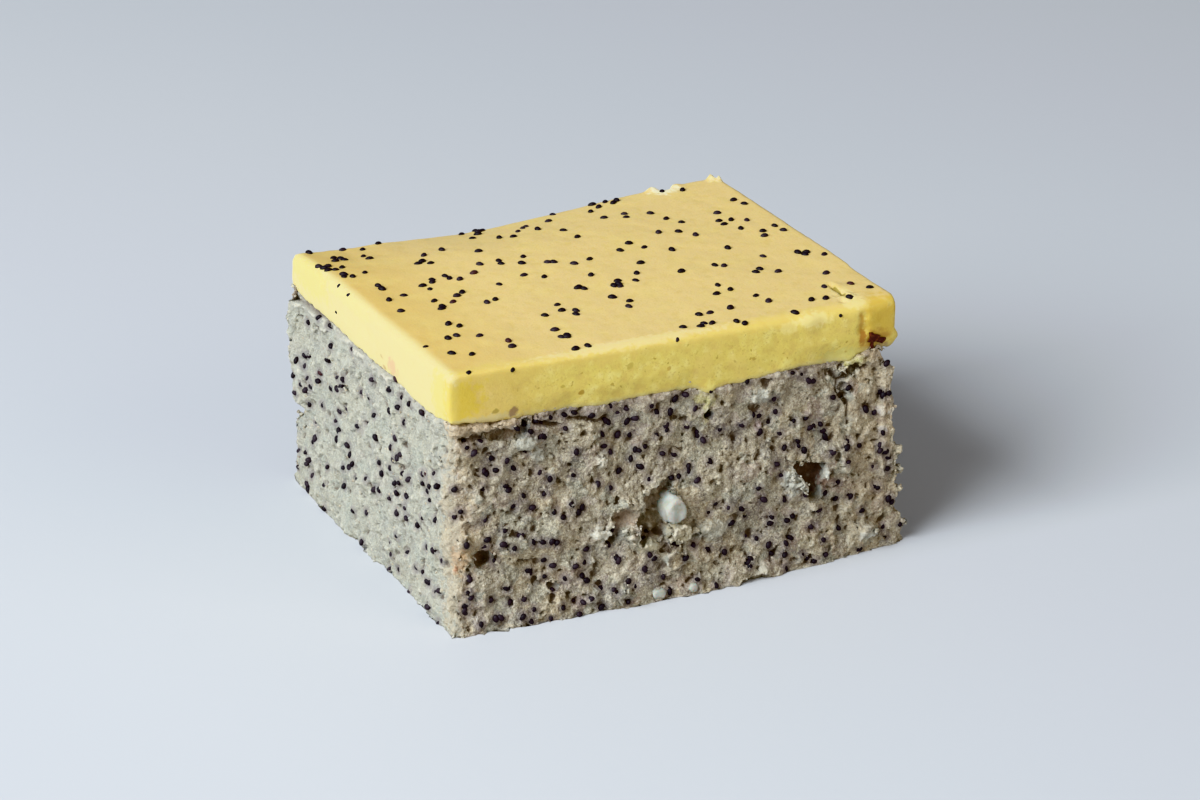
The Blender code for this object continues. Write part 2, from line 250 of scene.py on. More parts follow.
CLUMPS_OUT = """
0.8 352,105 360,114 374,120 387,111 392,99 388,89 377,85 360,90
0.4 396,103 413,111 441,109 459,98 454,86 426,82 402,90
0.7 307,89 315,99 326,103 338,98 339,85 331,79 315,81
0.6 346,73 366,80 385,70 380,50 357,44 344,56
0.7 229,126 239,132 252,129 260,118 253,113 235,114
0.5 280,174 298,172 315,166 315,154 308,148 290,152 279,162
0.5 289,128 307,127 309,110 304,93 293,95 284,113
0.8 558,168 576,162 583,154 587,145 595,138 595,123 584,126 574,137 564,146 559,156
0.6 628,139 633,149 643,149 641,139 632,133
0.5 242,241 251,248 262,239 260,227 249,226
0.4 108,300 136,299 146,284 134,272 113,276
0.4 135,274 156,272 162,260 150,250 136,256
0.4 503,298 529,302 538,286 525,275 506,279
0.4 3,336 98,327 114,319 108,311 94,315 64,315 30,319 6,316
0.3 684,319 696,334 712,338 734,338 734,318 714,312 696,312
0.4 5,156 24,166 36,142 29,120 8,124
0.5 694,44 716,48 732,36 722,22 698,24
0.4 724,225 728,235 735,234 734,225
0.4 740,222 745,231 754,229 753,221
0.4 729,195 733,204 741,202 739,194
"""
# The torn outline of the near right corner, and a notch at the back.
RIGHT_EDGE = """
730,312 744,311 752,301 751,294 749,282 748,266 750,258 755,247 758,235 754,219 753,211 756,203 761,192
756,183 755,176 762,171 773,166 773,154 769,148 764,139 763,133 771,129 772,122 765,120 764,105 767,99
774,94 776,88 769,85 765,76 763,60 763,50 770,52 776,47 781,39 786,32 784,21 775,20 765,15 762,3 730,3
"""
BACK_NOTCH = "-15,142 6,139 13,131 23,127 22,120 11,117 3,112 -15,108"
OUTSIDE, ROOTED = -3.0, 2.5

shapes = [(text, OUTSIDE, depth, narrow, "DIFFERENCE") for depth, narrow, text in rows_of(HOLLOWS, 2)]
shapes += [(text, ROOTED, -proud, 1.0, "UNION") for proud, text in rows_of(CLUMPS_OUT, 1)]
shapes.append((RIGHT_EDGE, 5.0, 0.6, 1.0, "UNION"))
fronts = [min(face_y(min(x, 74.0), z) for x, z in outline_of(text)) for text, *_ in shapes]
shapes.append((BACK_NOTCH, 55.0, 62.0, 1.0, "DIFFERENCE"))
for (text, near, far, narrow, how), front in zip(shapes, (*fronts, 0.0)):
    block = prism(text, front + near, front + far, narrow)
    modify(crumb, "BOOLEAN", operation=how, object=block, solver="EXACT")
    bpy.data.objects.remove(block)

# %% Remesh it, and keep two smoother surfaces that its relief and its hollows are measured from
CRUMB_GRID, HULL_GRID = 0.33, 1.6

remesh(crumb, CRUMB_GRID, 1)
even, hull = (new_object("smoother", crumb.data.copy()) for _ in range(2))
modify(even, "SMOOTH", factor=0.5, iterations=60)
even_places, even_normals = read(even), read(even, "normal")
remesh(hull, HULL_GRID, 14)
hull_tree = BVHTree.FromObject(hull, bpy.context.evaluated_depsgraph_get())
for helper in (even, hull):
    bpy.data.objects.remove(helper)

# %% Push clumps, grains and gaps out of it
SWELLS, CLUMPS, GRAINS, SPECKS = 5.0, 3.4, 1.3, 0.7

displace(crumb, texture("CLOUDS", SWELLS), 0.9)
displace(crumb, texture("VORONOI", CLUMPS, weight_1=-1.0, weight_2=1.0), 1.35, 0.35)
displace(crumb, texture("VORONOI", GRAINS), -0.6, 0.35)
for size, deep in ((1.4, 0.7), (0.75, 0.35)):
    gaps = texture("CLOUDS", size, noise_depth=2, use_color_ramp=True)
    gaps.color_ramp.elements[0].position, gaps.color_ramp.elements[1].position = 0.64, 0.74
    displace(crumb, gaps, -deep, 0.0)
displace(crumb, texture("CLOUDS", SPECKS, noise_depth=3), 0.55)

# %% Set back what the icing covers
# Heights of the seam along the front, as x and z, and along the left side, as y and z.
SEAM_PATH = """
0,337 50,331 85,328 120,327 200,325 250,320 310,322 380,321 415,317 426,308 436,308 448,314 485,317 520,319
550,323 590,324 620,322 650,320 675,316 690,326 710,330 736,328 760,326
"""
LEFT_SEAM = "0,334 50,330 120,327 220,326 280,322 320,324 400,321 480,321 540,317 600,317"
SIDE_SEAM, SEAM_REACH, SET_BACK = 33.6, 5.0, 0.9

seam_x, seam_z = np.array(outline_of(SEAM_PATH)).T
left_y, left_z = np.array(outline_of(LEFT_SEAM)).T


def seam_height(flat):
    """The height of the seam at each of some places, all in millimetres from the near corner."""
    from_left, from_front = np.clip(flat[:, :2] / SEAM_REACH, 0, 1).T
    front = (np.interp(flat[:, 0], seam_x, seam_z) - SIDE_SEAM) * (1 - from_front)
    left = (np.interp(flat[:, 1], left_y, left_z) - SIDE_SEAM) * (1 - from_left) * from_front
    return SIDE_SEAM + front + left


places = read(crumb)
flat = in_mm(places)
covered = np.clip((flat[:, 2] - seam_height(flat) - 0.1) / 0.4, 0, 1)
places[:, :2] -= (even_normals[:, :2] * covered[:, None]) * SET_BACK * MM
write(crumb, places)

# %% Swell its back left edge above the notch
# How far it swells to the left, as z and millimetres.
SWELLING = "142,0 152,6 175,13 210,13 250,6 280,1"

places = read(crumb)
flat = in_mm(places)
swell_z, swell = np.array(outline_of(SWELLING)).T
near_edge = np.clip((flat[:, 1] - 50) / 6, 0, 1) * np.clip((7 - flat[:, 0]) / 5, 0, 1)
places[:, 0] -= near_edge * np.interp(flat[:, 2], swell_z, swell) * MM
write(crumb, places)

# %% Cut the thin cracks of the front
# Each has its half width, its depth and its path in x and z.
FRONT_CRACKS = """
0.26 0.7 633,309 646,305 654,295 659,289
0.28 0.9 659,289 669,292 673,296 677,305 684,307 694,305 705,305
0.27 0.7 659,289 656,277 658,267 667,258 674,250 675,236 676,215
0.32 1.3 140,316 150,311 163,309 170,303 183,302
0.3 0.9 22,304 40,306 59,304 66,308
0.3 1 199,309 225,305 249,296 264,302
"""
ONLY_FRONT = 6.0

places = read(crumb)
flat = in_mm(places)
push = np.zeros(len(flat))
for half_width, depth, text in rows_of(FRONT_CRACKS, 2):
    path = np.array(outline_of(text))
    for start, end in zip(path, path[1:]):
        way = end - start
        from_start = flat[:, (0, 2)] - start
        share = np.clip(from_start @ way / (way @ way), 0, 1)
        off = np.linalg.norm(from_start - share[:, None] * way, axis=1)
        push = np.maximum(push, depth * np.exp(-((off / half_width) ** 2)) * (flat[:, 1] < ONLY_FRONT))
places -= even_normals * push[:, None] * MM
write(crumb, places)


# %% Measure the relief, the hollows and the small gaps
def averaged(piece, values, times):
    """Values shared out between neighbouring points, a number of times."""
    ends = np.zeros(len(piece.data.edges) * 2, np.int32)
    piece.data.edges.foreach_get("vertices", ends)
    one, other = ends.reshape(-1, 2).T
    count = len(values)
    shares = np.bincount(one, minlength=count) + np.bincount(other, minlength=count)
    for _ in range(times):
        values = (np.bincount(one, values[other], count) + np.bincount(other, values[one], count)) / shares
    return values


places = read(crumb)
relief = ((places - even_places) * even_normals).sum(axis=1) / MM
store(crumb, "relief", relief)
cavity = relief - averaged(crumb, relief, 10)
store(crumb, "cavity", cavity / cavity.std())
# How much each point faces left, where the material paints the cool tint of the window light.
store(crumb, "left_side", np.clip(-even_normals[:, 0] * 1.6 - 0.3, 0, 1))
found = [hull_tree.find_nearest(place) for place in places]
hollow = [-(Vector(place) - near).dot(normal) / MM for place, (near, normal, *_) in zip(places, found)]
store(crumb, "hollow", hollow)
print("relief in mm", np.percentile(relief, (1, 25, 50, 75, 99)).round(2))

# %% Flatten the foot and clear what is hidden
FOOT, KEPT = 0.30, 0.75

places = read(crumb)
places[even_places[:, 2] < FOOT * MM, 2] = 0.0
places[:, 2] = np.maximum(places[:, 2], 0.0)
flat = in_mm(even_places)
hidden = (even_normals[:, 2] > 0.8) & (flat[:, 2] > 31)
hidden &= ((flat[:, :2] > 1.2) & (flat[:, :2] < (73.8, 57))).all(axis=1)
places[hidden] = even_places[hidden]
write(crumb, places)
refill(crumb, lambda place, normal: place.z < 0.001 and 2 < place.x < 74 and 1 < place.y < 56)
refill(crumb, lambda place, normal: normal.z > 0.2 and place.z > 31 and 2 < place.x < 73 and 2 < place.y < 56)
modify(crumb, "DECIMATE", ratio=KEPT)
bpy.ops.object.shade_smooth()
crumb_flat = in_mm(read(crumb))
below_seam = seam_height(crumb_flat) - crumb_flat[:, 2]
store(crumb, "below_seam", below_seam)

# %% [markdown]
# ## The icing slab
# The icing was poured on the tray bake and cut with it. Its cut faces are nearly flat and its
# upper edges soft, most of all the left one, which lay at the edge of the tray. A cube is shaped
# corner by corner, bevelled, remeshed so that it can carry dents, and waved.

# %% Shape the slab from a cube
ICING_TOP = (41.4, 41.1, 41.5, 40.3)
ICING_FOOT = (33.3, 32.4, 33.8, 34.4)
LENGTH, DEPTH, LEFT_SIDE_LONGER = 75.0, 58.2, 1.4
START_LOW, START_HIGH = 33.5, 40.5

pick()
bpy.ops.mesh.primitive_cube_add(size=1, location=at(LENGTH / 2, DEPTH / 2, (START_LOW + START_HIGH) / 2))
slab = bpy.context.object
slab.name = "icing_slab"
bpy.ops.transform.resize(value=(LENGTH * MM, DEPTH * MM, (START_HIGH - START_LOW) * MM))
bpy.ops.object.transform_apply()
corners = ((0, 0), (LENGTH, 0), (LENGTH, DEPTH), (0, DEPTH))
for (x, y), top, foot in zip(corners, ICING_TOP, ICING_FOOT):
    longer = LEFT_SIDE_LONGER if (x, y) == (0, DEPTH) else 0
    for height, start in ((top, START_HIGH), (foot, START_LOW)):
        spot = Vector((x, y, start))
        select_where(slab, lambda place, normal: (place - spot).length < 0.1, "VERT")
        bpy.ops.transform.translate(value=Vector((0, longer, height - start)) * MM)
        leave_edit()

# %% Turn the right end facet and soften the edges
FACET_START, SLAB_GRID = 70.2, 0.40

for cut in (67.0, FACET_START):
    edit(slab)
    bpy.ops.mesh.bisect(plane_co=at(cut, 0, 0), plane_no=(1, 0, 0))
    leave_edit()
select_where(slab, lambda place, normal: place.x > 74 and place.y < 1, "VERT")
bpy.ops.transform.translate(value=(0.7 * MM, 0.9 * MM, 0))
leave_edit()
select_where(slab, lambda place, normal: place.z > 39 and place.x < 0.1, "EDGE")
bpy.ops.mesh.bevel(offset=1.7 * MM, segments=4, profile=0.6)
leave_edit()
rim = lambda place, normal: place.z > 40 and place.y < 1.3 and place.x > 3 and abs(normal.x) < 0.8
select_where(slab, rim, "EDGE")
bpy.ops.mesh.bevel(offset=1.8 * MM, segments=5, profile=0.5)
leave_edit()
remesh(slab, SLAB_GRID, 3)

# %% Wave its faces
displace(slab, texture("CLOUDS", 14), 0.35)
displace(slab, texture("CLOUDS", 3), 0.12)

# %% Lead its lower edge along the seam
HEM_TOP = 35.5

places = read(slab)
flat = in_mm(places)
in_hem = np.clip((HEM_TOP - flat[:, 2]) / 2, 0, 1)
from_front = np.clip(flat[:, 1] / SEAM_REACH, 0, 1)
straight = np.interp(flat[:, 0], (0, LENGTH), ICING_FOOT[:2]) * (1 - from_front) + SIDE_SEAM * from_front
places[:, 2] += in_hem * (seam_height(flat) - straight) * MM
for side, along in ((1, 0), (0, 1)):
    lip = (crumb_flat[:, side] < 3) & (below_seam > 0.2) & (below_seam < 2.2)
    stops = np.arange(4.0, (72.0, 56.0)[along], 4.0)
    near_stop = [lip & (abs(crumb_flat[:, along] - stop) < 3) for stop in stops]
    lip_places = [np.percentile(crumb_flat[chosen, side], 40) for chosen in near_stop]
    shift = np.clip(np.interp(flat[:, along], stops, lip_places), -1.2, 1.2)
    places[:, side] += in_hem * np.clip((3 - flat[:, side]) / 2, 0, 1) * shift * MM
write(slab, places)

# %% Dip its back edge
# Heights of the back edge, as x and z.
BACK_EDGE = "5,395 83,388 142,390 285,385 329,385 451,392 526,400 651,409 750,413"
DIP_START = 38.0

places = read(slab)
flat = in_mm(places)
back_x, back_z = np.array(outline_of(BACK_EDGE)).T
level = np.interp(flat[:, 0], (0, LENGTH), (ICING_TOP[3], ICING_TOP[2]))
to_back = np.clip((flat[:, 1] - DIP_START) / (DEPTH - DIP_START), 0, 1) ** 2
in_top = np.clip((flat[:, 2] - 35) / 4, 0, 1)
places[:, 2] += in_top * to_back * (np.interp(flat[:, 0], back_x, back_z) - level) * MM
write(slab, places)

# %% Leave its hem ragged
hem = slab.vertex_groups.new(name="hem")
hem.add([int(index) for index in np.flatnonzero(in_hem)], 1.0, "REPLACE")
displace(slab, texture("CLOUDS", 1.3, noise_depth=3), 0.9, direction="Z", vertex_group="hem")


# %% Press its dips, its nick and the raised bits
def press(piece, spot, by, reach):
    """Moves the point nearest a spot, and takes the points within reach along with it."""
    close = min(piece.data.vertices, key=lambda v: (v.co - at(*spot)).length_squared)
    nearest = (close.co - NEAR) / MM
    select_where(piece, lambda place, normal: place == nearest, "VERT")
    soft = {"proportional_edit_falloff": "SMOOTH", "proportional_size": reach * MM}
    bpy.ops.transform.translate(value=Vector(by) * MM, use_proportional_edit=True, **soft)
    leave_edit()


# In each row: a place, how far it moves, and how far around it moves too.
PRESSES = """
65.2 58.4 41.4 0 -1.3 -1 1.6
62.9 58 41.4 0 0.1 0.6 1.5
67.2 57.6 41.5 0 0.1 0.3 1.6
73.6 57.6 41.6 0 0.3 0.8 1
75 57 41.6 0 0.3 0.7 0.8
69 8 41.2 0 0 0.25 2
68.8 4 41.2 0 0 0.35 2
67.6 5 41.2 0 0 -0.35 1
67.2 2.6 41.2 0 0 -0.35 1
69.4 0 37 0 0.5 0 1.6
69.4 0 39 0 0.4 0 1.4
75.6 1 34.2 0.8 -0.1 0 1.6
60 0 40.2 0 -0.25 0.1 3
0 47 39.2 0.5 0 -0.3 1.6
0 30 38.6 0.35 0 0 6
"""
# A crack that runs from the front rim across the top, as x and y.
TOP_CRACK = "686,92 683,74 686,56 682,44 687,30"

for x, y, z, *by, reach in rows_of(PRESSES, 6):
    press(slab, (x, y, z), by, float(reach))
places = read(slab)
flat = in_mm(places)
path = np.array(outline_of(TOP_CRACK))
spots = np.concatenate([np.linspace(start, end, 12) for start, end in zip(path, path[1:])])
off = np.linalg.norm(flat[:, None, :2] - spots, axis=2).min(axis=1)
places[:, 2] -= 0.6 * np.exp(-((off / 0.3) ** 2)) * (flat[:, 2] > 38) * MM
write(slab, places)
store(slab, "from_rim", np.hypot(flat[:, 1] - 0.4, flat[:, 2] - 41.0))
store(slab, "above_seam", flat[:, 2] - seam_height(flat))
pick(slab)
bpy.ops.object.shade_smooth()

# %% [markdown]
# ## Poppy seeds
# A ripe poppy seed is a kidney a little over a millimetre long, slate to purple-black. One is
# made from a sphere, flattened and bent. Geometry Nodes then puts copies of it on given places,
# or strews them, some sunk deep and some nearly free, and joins them into one mesh.

# %% Model one seed
SEED_SIZE = (1.18, 0.88, 0.74)

pick()
bpy.ops.mesh.primitive_uv_sphere_add(segments=10, ring_count=6, radius=0.5, location=(0, 0, 0))
seed = bpy.context.object
bpy.ops.transform.resize(value=[size * MM for size in SEED_SIZE])
bpy.ops.object.transform_apply()
modify(seed, "SIMPLE_DEFORM", deform_method="BEND", deform_axis="Z", angle=math.radians(60))
bpy.ops.object.shade_smooth()
print("seed", [round(size / MM, 2) for size in seed.dimensions], "mm")


# %% One way to add a node
def add_node(tree, kind, values):
    """Adds a node and gives its outputs. A value is a property, an input's value or a link to it."""
    node = tree.nodes.new(kind)
    for name, value in values.items():
        if isinstance(value, bpy.types.NodeSocket):
            tree.links.new(value, node.inputs[name])
        elif isinstance(name, int) or name in node.inputs:
            node.inputs[name].default_value = value
        else:
            setattr(node, name, value)
    return node.outputs


# %% Say where the crumb is bare, and where its unseen sides are seeded
patches = texture("CLOUDS", 5)
bare_places, bare_normals = read(crumb), read(crumb, "normal")
heights = bare_places[:, 2] / MM
is_bare = (bare_normals[:, 2] < 0.8) & (heights > 0.5) & (heights < 33.4)
crowd = np.array([patches.evaluate(place)[3] for place in bare_places])
hollow = np.zeros(len(crowd), np.float32)
crumb.data.attributes["hollow"].data.foreach_get("value", hollow)
share = np.clip(2.6 * (crowd - 0.28), 0.12, 1.0) * (hollow < 1.4)
behind = (bare_places[:, 1] > at(0, 4, 0).y) & (bare_places[:, 0] > at(3, 0, 0).x)
store(crumb, "bare", is_bare * np.where(bare_normals[:, 0] < -0.6, 0.4, 1.0))
store(crumb, "crowd", is_bare * share * behind)


# %% Strew copies of a shape
def strew(name, shape, carrier, sizes, sunk, tilt, number, spacing=None, density=None, where=None):
    """Joins copies of a shape, strewn over a carrier's faces or one on each of its points."""
    tree = bpy.data.node_groups.new(name, "GeometryNodeTree")
    tree.interface.new_socket("Geometry", in_out="OUTPUT", socket_type="NodeSocketGeometry")
    add = partial(add_node, tree)
    points = add("GeometryNodeObjectInfo", {"Object": carrier})["Geometry"]
    copy = add("GeometryNodeObjectInfo", {"Object": shape})["Geometry"]
    if density:
        bare = add("GeometryNodeInputNamedAttribute", {"Name": where})[0]
        spread = {"distribute_method": "POISSON", "Distance Min": spacing * MM, "Seed": number}
        spread |= {"Density Max": density / MM**2, "Mesh": points, "Density Factor": bare}
        found = add("GeometryNodeDistributePointsOnFaces", spread)
        points, outward, facing = found[0], found["Normal"], found["Rotation"]
    else:
        outward = add("GeometryNodeInputNamedAttribute", {"data_type": "FLOAT_VECTOR", "Name": "outward"})[0]
        facing = add("FunctionNodeAlignRotationToVector", {"axis": "Z", "Vector": outward})[0]
    depth = add("FunctionNodeRandomValue", {2: -sunk[0] * MM, 3: -sunk[1] * MM, "Seed": number + 1})[1]
    pushed = add("ShaderNodeVectorMath", {"operation": "SCALE", 0: outward, 3: depth})[0]
    moved = add("GeometryNodeSetPosition", {0: points, "Offset": pushed})[0]
    angles = {"data_type": "FLOAT_VECTOR", 0: (-tilt, -tilt, -math.pi), 1: (tilt, tilt, math.pi)}
    spin = add("FunctionNodeRandomValue", {**angles, "Seed": number + 2})[0]
    turn = add("FunctionNodeEulerToRotation", {0: spin})[0]
    turned = add("FunctionNodeRotateRotation", {"rotation_space": "LOCAL", 0: facing, 1: turn})[0]
    size = add("FunctionNodeRandomValue", {2: sizes[0], 3: sizes[1], "Seed": number + 3})[1]
    placing = {"Points": moved, "Instance": copy, "Rotation": turned, "Scale": size}
    copies = add("GeometryNodeInstanceOnPoints", placing)[0]
    tint = add("FunctionNodeRandomValue", {"Seed": number + 4})[1]
    kept = {"domain": "INSTANCE", "Name": "tint", "Geometry": copies, "Value": tint}
    tinted = add("GeometryNodeStoreNamedAttribute", kept)[0]
    add("NodeGroupOutput", {0: add("GeometryNodeRealizeInstances", {0: tinted})[0]})
    strewn = new_object(name, bpy.data.meshes.new(name))
    modify(strewn, "NODES", node_group=tree)
    places = read(strewn)
    places[:, 2] = np.maximum(places[:, 2], 0.0)
    write(strewn, places)
    return strewn


# %% Seed the crumb: place by place on the two sides that are seen, and at random on the others
# Places on the front as x and z, and on the left side as y and z, each on the plain face.
FRONT_SEEDS = """
25,308 31,295 42,285 53,303 112,312 123,318 143,318 150,314 166,320 190,319 206,320 235,309 135,300 150,292
155,290 192,297 258,296 70,271 126,271 252,277 95,263 57,255 61,250 76,252 105,251 209,256 255,258 8,236
147,238 53,229 90,226 95,221 163,223 202,222 119,205 155,201 242,202 16,200 5,194 100,192 131,186 55,181
196,181 166,174 212,172 264,248 267,317 280,306 293,308 263,294 295,289 307,292 335,307 344,295 366,292
374,312 392,315 409,289 435,313 498,318 278,272 297,268 345,260 360,271 361,264 394,265 429,276 410,253
410,247 420,238 447,250 487,249 305,244 312,241 322,245 350,230 297,231 368,224 313,216 277,215 431,203
394,202 394,195 326,195 376,190 365,191 262,191 406,179 508,262 574,319 590,313 602,301 609,300 543,283
670,280 738,307 643,269 545,261 517,258 531,248 726,262 731,257 742,258 597,242 576,240 517,233 604,225
610,226 622,228 627,215 631,205 635,199 552,225 702,238 718,230 559,201 584,207 584,200 594,190 673,191
671,179 543,179 644,178 693,179 735,192 729,173 20,150 83,160 106,150 54,152 48,143 79,140 83,137 179,163
204,166 129,134 144,131 160,128 166,126 258,129 97,129 63,117 25,95 146,101 160,90 120,89 124,85 215,106
253,107 197,81 213,85 22,75 25,66 84,68 145,74 179,65 208,65 215,56 56,56 157,53 13,49 14,43 13,56 109,46
85,47 62,27 68,27 38,22 126,26 106,20 173,23 206,24 219,27 189,31 118,12 151,8 198,7 235,11 237,39 259,34
317,115 312,105 266,82 269,77 322,75 330,68 312,55 284,41 263,29 295,31 280,10 343,37 362,87 367,84 398,76
382,59 420,66 449,56 400,22 352,13 432,8 435,137 422,125 456,127 479,120 485,107 462,98 486,74 505,66 494,39
491,26 487,33 508,148 549,160 518,128 555,120 594,118 632,113 650,100 655,126 674,155 673,100 679,97 721,104
727,101 716,141 740,158 744,149 731,164 744,131 758,108 748,79 753,74 534,96 531,85 560,84 571,88 617,87
604,64 609,62 526,53 527,39 565,55 559,48 554,31 628,37 655,50 588,25 593,15 628,14 555,9 609,7 694,7 735,35
700,68 739,18 768,34
"""
LEFT_SEEDS = """
87,324 135,319 157,321 206,314 174,298 150,284 205,280 272,305 284,270 263,250 286,229 41,245 31,228 75,229
83,225 62,214 82,212 65,204 55,196 185,243 164,225 177,214 196,202 204,220 259,214 157,198 137,195 205,184
173,174 183,170 141,166 247,177 236,163 180,155 36,172 89,152 153,141 146,127 104,133 207,134 180,122
245,132 265,125 298,129 40,119 49,115 70,112 17,112 184,80 140,72 109,59 84,64 60,57 70,53 24,60 35,55
210,59 203,44 175,29 210,15 136,7 29,4 71,12 299,72 346,327 432,333 481,330 520,306 430,300 442,272 309,271
407,257 386,260 397,247 410,236 434,226 520,247 537,243 475,237 539,224 486,219 575,220 371,217 330,204
532,206 400,200 520,195 537,184 559,183 587,190 471,183 414,180 404,167 521,166 582,161 370,156 356,146
412,149 497,143 356,130 364,121 334,115 386,112 500,115 508,106 385,81 452,85 540,75 536,56 526,66 571,65
351,51 465,49 515,44 580,37 536,21 535,12 316,14 467,6
"""
# How far the front leans out at some heights, left of x 52 and right of x 68.
LEAN_Z = (0, 3, 5, 8, 12, 14.5, 17.5, 20, 24, 27, 30, 34)
LEAN_LEFT = (-4.0, -3.4, -3.0, -2.5, -2.3, -2.25, -1.6, -0.9, -0.35, 0.1, 0.3, 0.3)
LEAN_RIGHT = (-1.9, -1.7, -1.2, -1.0, -0.9, -0.8, -0.55, -0.45, -0.5, -0.6, -0.3, 0.3)
LEFT_SIDE, NEARER, TRIES = -0.3, 0.3, 12


def landings(name, piece, spots):
    """One point for each spot where it is seen on a piece, with the way the piece faces there."""
    bpy.context.view_layer.update()
    found = []
    for x, y, z in spots:
        for step in range(TRIES):
            sight = (at(x, y - NEARER * step, z) - at(*EYE)).normalized()
            hit, place, normal, face = piece.ray_cast(at(*EYE), sight)
            if hit:
                found.append((place, normal))
                break
    points = bpy.data.objects.new(name, bpy.data.meshes.new(name))
    points.data.from_pydata([place for place, normal in found], [], [])
    store(points, "outward", [normal for place, normal in found], "FLOAT_VECTOR")
    return points


def lean(x, z):
    share = np.clip((x - 52) / 16, 0, 1)
    return float(np.interp(z, LEAN_Z, LEAN_LEFT) * (1 - share) + np.interp(z, LEAN_Z, LEAN_RIGHT) * share)


spots = [(x, lean(x, z), z) for x, z in outline_of(FRONT_SEEDS)]
spots += [(LEFT_SIDE, y, z) for y, z in outline_of(LEFT_SEEDS)]
crumb_landings = landings("crumb_landings", crumb, spots)
placed = strew("placed_seeds", seed, crumb_landings, (0.85, 1.2), (-0.12, 0.3), 0.8, 5)
crumb_seeds = strew("crumb_seeds", seed, crumb, (0.85, 1.2), (-0.12, 0.3), 0.8, 9, 0.85, 0.24, "crowd")
pick(crumb_seeds, placed)
bpy.ops.object.join()

# %% [markdown]
# ## Loose grains
# Fine grains of crumb cling to the torn sides and catch the light. Each is a twenty-sided lump,
# knocked out of shape, and they are strewn as the seeds are.

# %% Model one grain and strew it
pick()
bpy.ops.mesh.primitive_ico_sphere_add(subdivisions=1, radius=0.34 * MM, location=(0, 0, 0))
grain = bpy.context.object
edit(grain)
bpy.ops.transform.vertex_random(offset=0.2 * MM, seed=4)
leave_edit()
crumb_grains = strew("crumb_grains", grain, crumb, (0.35, 1.0), (0.1, 0.28), 1.5, 40, 0.42, 1.05, "bare")

# %% Note how far each point of the crumb is from a seed
centres = read(crumb_seeds).reshape(-1, len(seed.data.vertices), 3).mean(axis=1)
tree = kdtree.KDTree(len(centres))
for index, centre in enumerate(centres):
    tree.insert(centre, index)
tree.balance()
store(crumb, "to_seed", [tree.find(place)[2] / MM for place in read(crumb)])

# %% [markdown]
# ## Seeds on the icing
# Seeds were strewn on the icing as it set, some alone and some in close groups. Their places are
# kept as x and y on a plain top. Each seed is put where the camera sees that place on the slab,
# turned at random and pressed a little way in.

# %% Put the seeds onto the slab
TOP_SEEDS = """
18,574 70,562 98,539 131,562 43,526 52,518 40,512 55,511 88,512 92,498 8,502 12,491 20,496 15,481 25,478
39,482 29,452 62,446 38,439 26,444 173,472 208,481 151,444 160,449 169,437 265,546 287,518 293,528 301,534
273,506 311,489 334,484 350,502 363,512 370,516 382,496 413,521 432,551 417,474 424,438 257,450 57,384
57,369 118,354 138,362 142,372 166,376 168,364 181,354 123,337 76,330 48,322 46,272 108,288 105,254 110,262
132,272 148,292 161,302 226,308 235,398 211,368 266,386 268,399 310,398 296,373 334,359 342,356 277,326
302,306 368,336 398,343 370,281 328,241 335,234 332,246 177,247 194,253 382,226 390,219 392,229 396,241
422,231 437,257 462,293 458,355 484,377 498,351 532,322 548,399 578,388 596,364 602,423 587,448 575,480
533,482 536,496 499,495 508,556 492,529 513,542 533,562 543,549 552,556 670,551 638,562 723,474 731,453
672,434 658,402 678,398 659,386 700,386 674,358 728,345 700,332 692,313 731,322 615,292 503,234 562,235
574,227 648,236 705,227 711,216 717,222 606,182 617,191 638,169 88,192 100,178 269,192 265,168 233,161
278,146 284,158 358,183 375,158 364,139 64,141 80,145 111,130 44,84 70,68 140,92 136,70 221,102 218,72
229,76 225,69 216,21 238,24 399,30 425,22 435,30 446,25 444,64 463,64 500,68 559,96 566,68 527,159 536,135
508,128 702,132 672,84 715,78 735,53 628,45 651,42 491,5 483,17 580,11 686,29 739,203 291,540
"""
# One seed on its left side, and those half sunk in its rounded edges, as x, y and z.
SIDE_SEED = "3,195,335"
SUNK_SEEDS = "3,411,405 3,372,404 19,124,410 34,5,412 102,0,408 373,0,408 652,2,399 3,419,359"
PLAIN_TOP, LEFT_BACK_DROP = 41.3, 1.1

spots = []
for x, y in outline_of(TOP_SEEDS):
    drop = LEFT_BACK_DROP * (y / (DEPTH + LEFT_SIDE_LONGER)) * (1 - x / LENGTH)
    spots.append((x, y, PLAIN_TOP - drop))
slab_landings = landings("slab_landings", slab, spots + outline_of(SIDE_SEED))
top_seeds = strew("top_seeds", seed, slab_landings, (1.08, 1.28), (-0.05, 0.12), 0.2, 90)
sunk_landings = landings("sunk_landings", slab, outline_of(SUNK_SEEDS))
write(sunk_landings, read(sunk_landings) + np.array((0.2, 0.22, 0.0)) * MM)
upright = np.tile((-0.2, -0.2, 1.0), len(sunk_landings.data.vertices))
store(sunk_landings, "outward", upright, "FLOAT_VECTOR")
sunk_seeds = strew("sunk_seeds", seed, sunk_landings, (0.85, 1.0), (0.05, 0.1), 0.2, 95)
pick(top_seeds, sunk_seeds)
bpy.ops.object.join()

# %% [markdown]
# ## Almond bits
# Beside the tall hollow a white, slightly glassy bit of almond stands out of the cut, and two
# more lie at the foot. Each is a block with its own outline, bevelled, knocked about and reduced
# to few faces for broken facets, whose edges a fine remesh then softens.

# %% Model the almond bits
# Each has how far it stands out, and its outline in x and z.
ALMOND_BITS = """
1.6 345,146 352,159 362,166 372,162 379,150 381,136 373,126 362,118 352,122 345,133
0.25 323,18 334,22 345,18 347,4 334,1 322,4
0.35 384,15 393,19 401,14 402,4 394,1 386,3
"""
ALMOND_DEEP, ALMOND_BEVEL, ALMOND_FACETS = 3.0, 0.35, 0.08

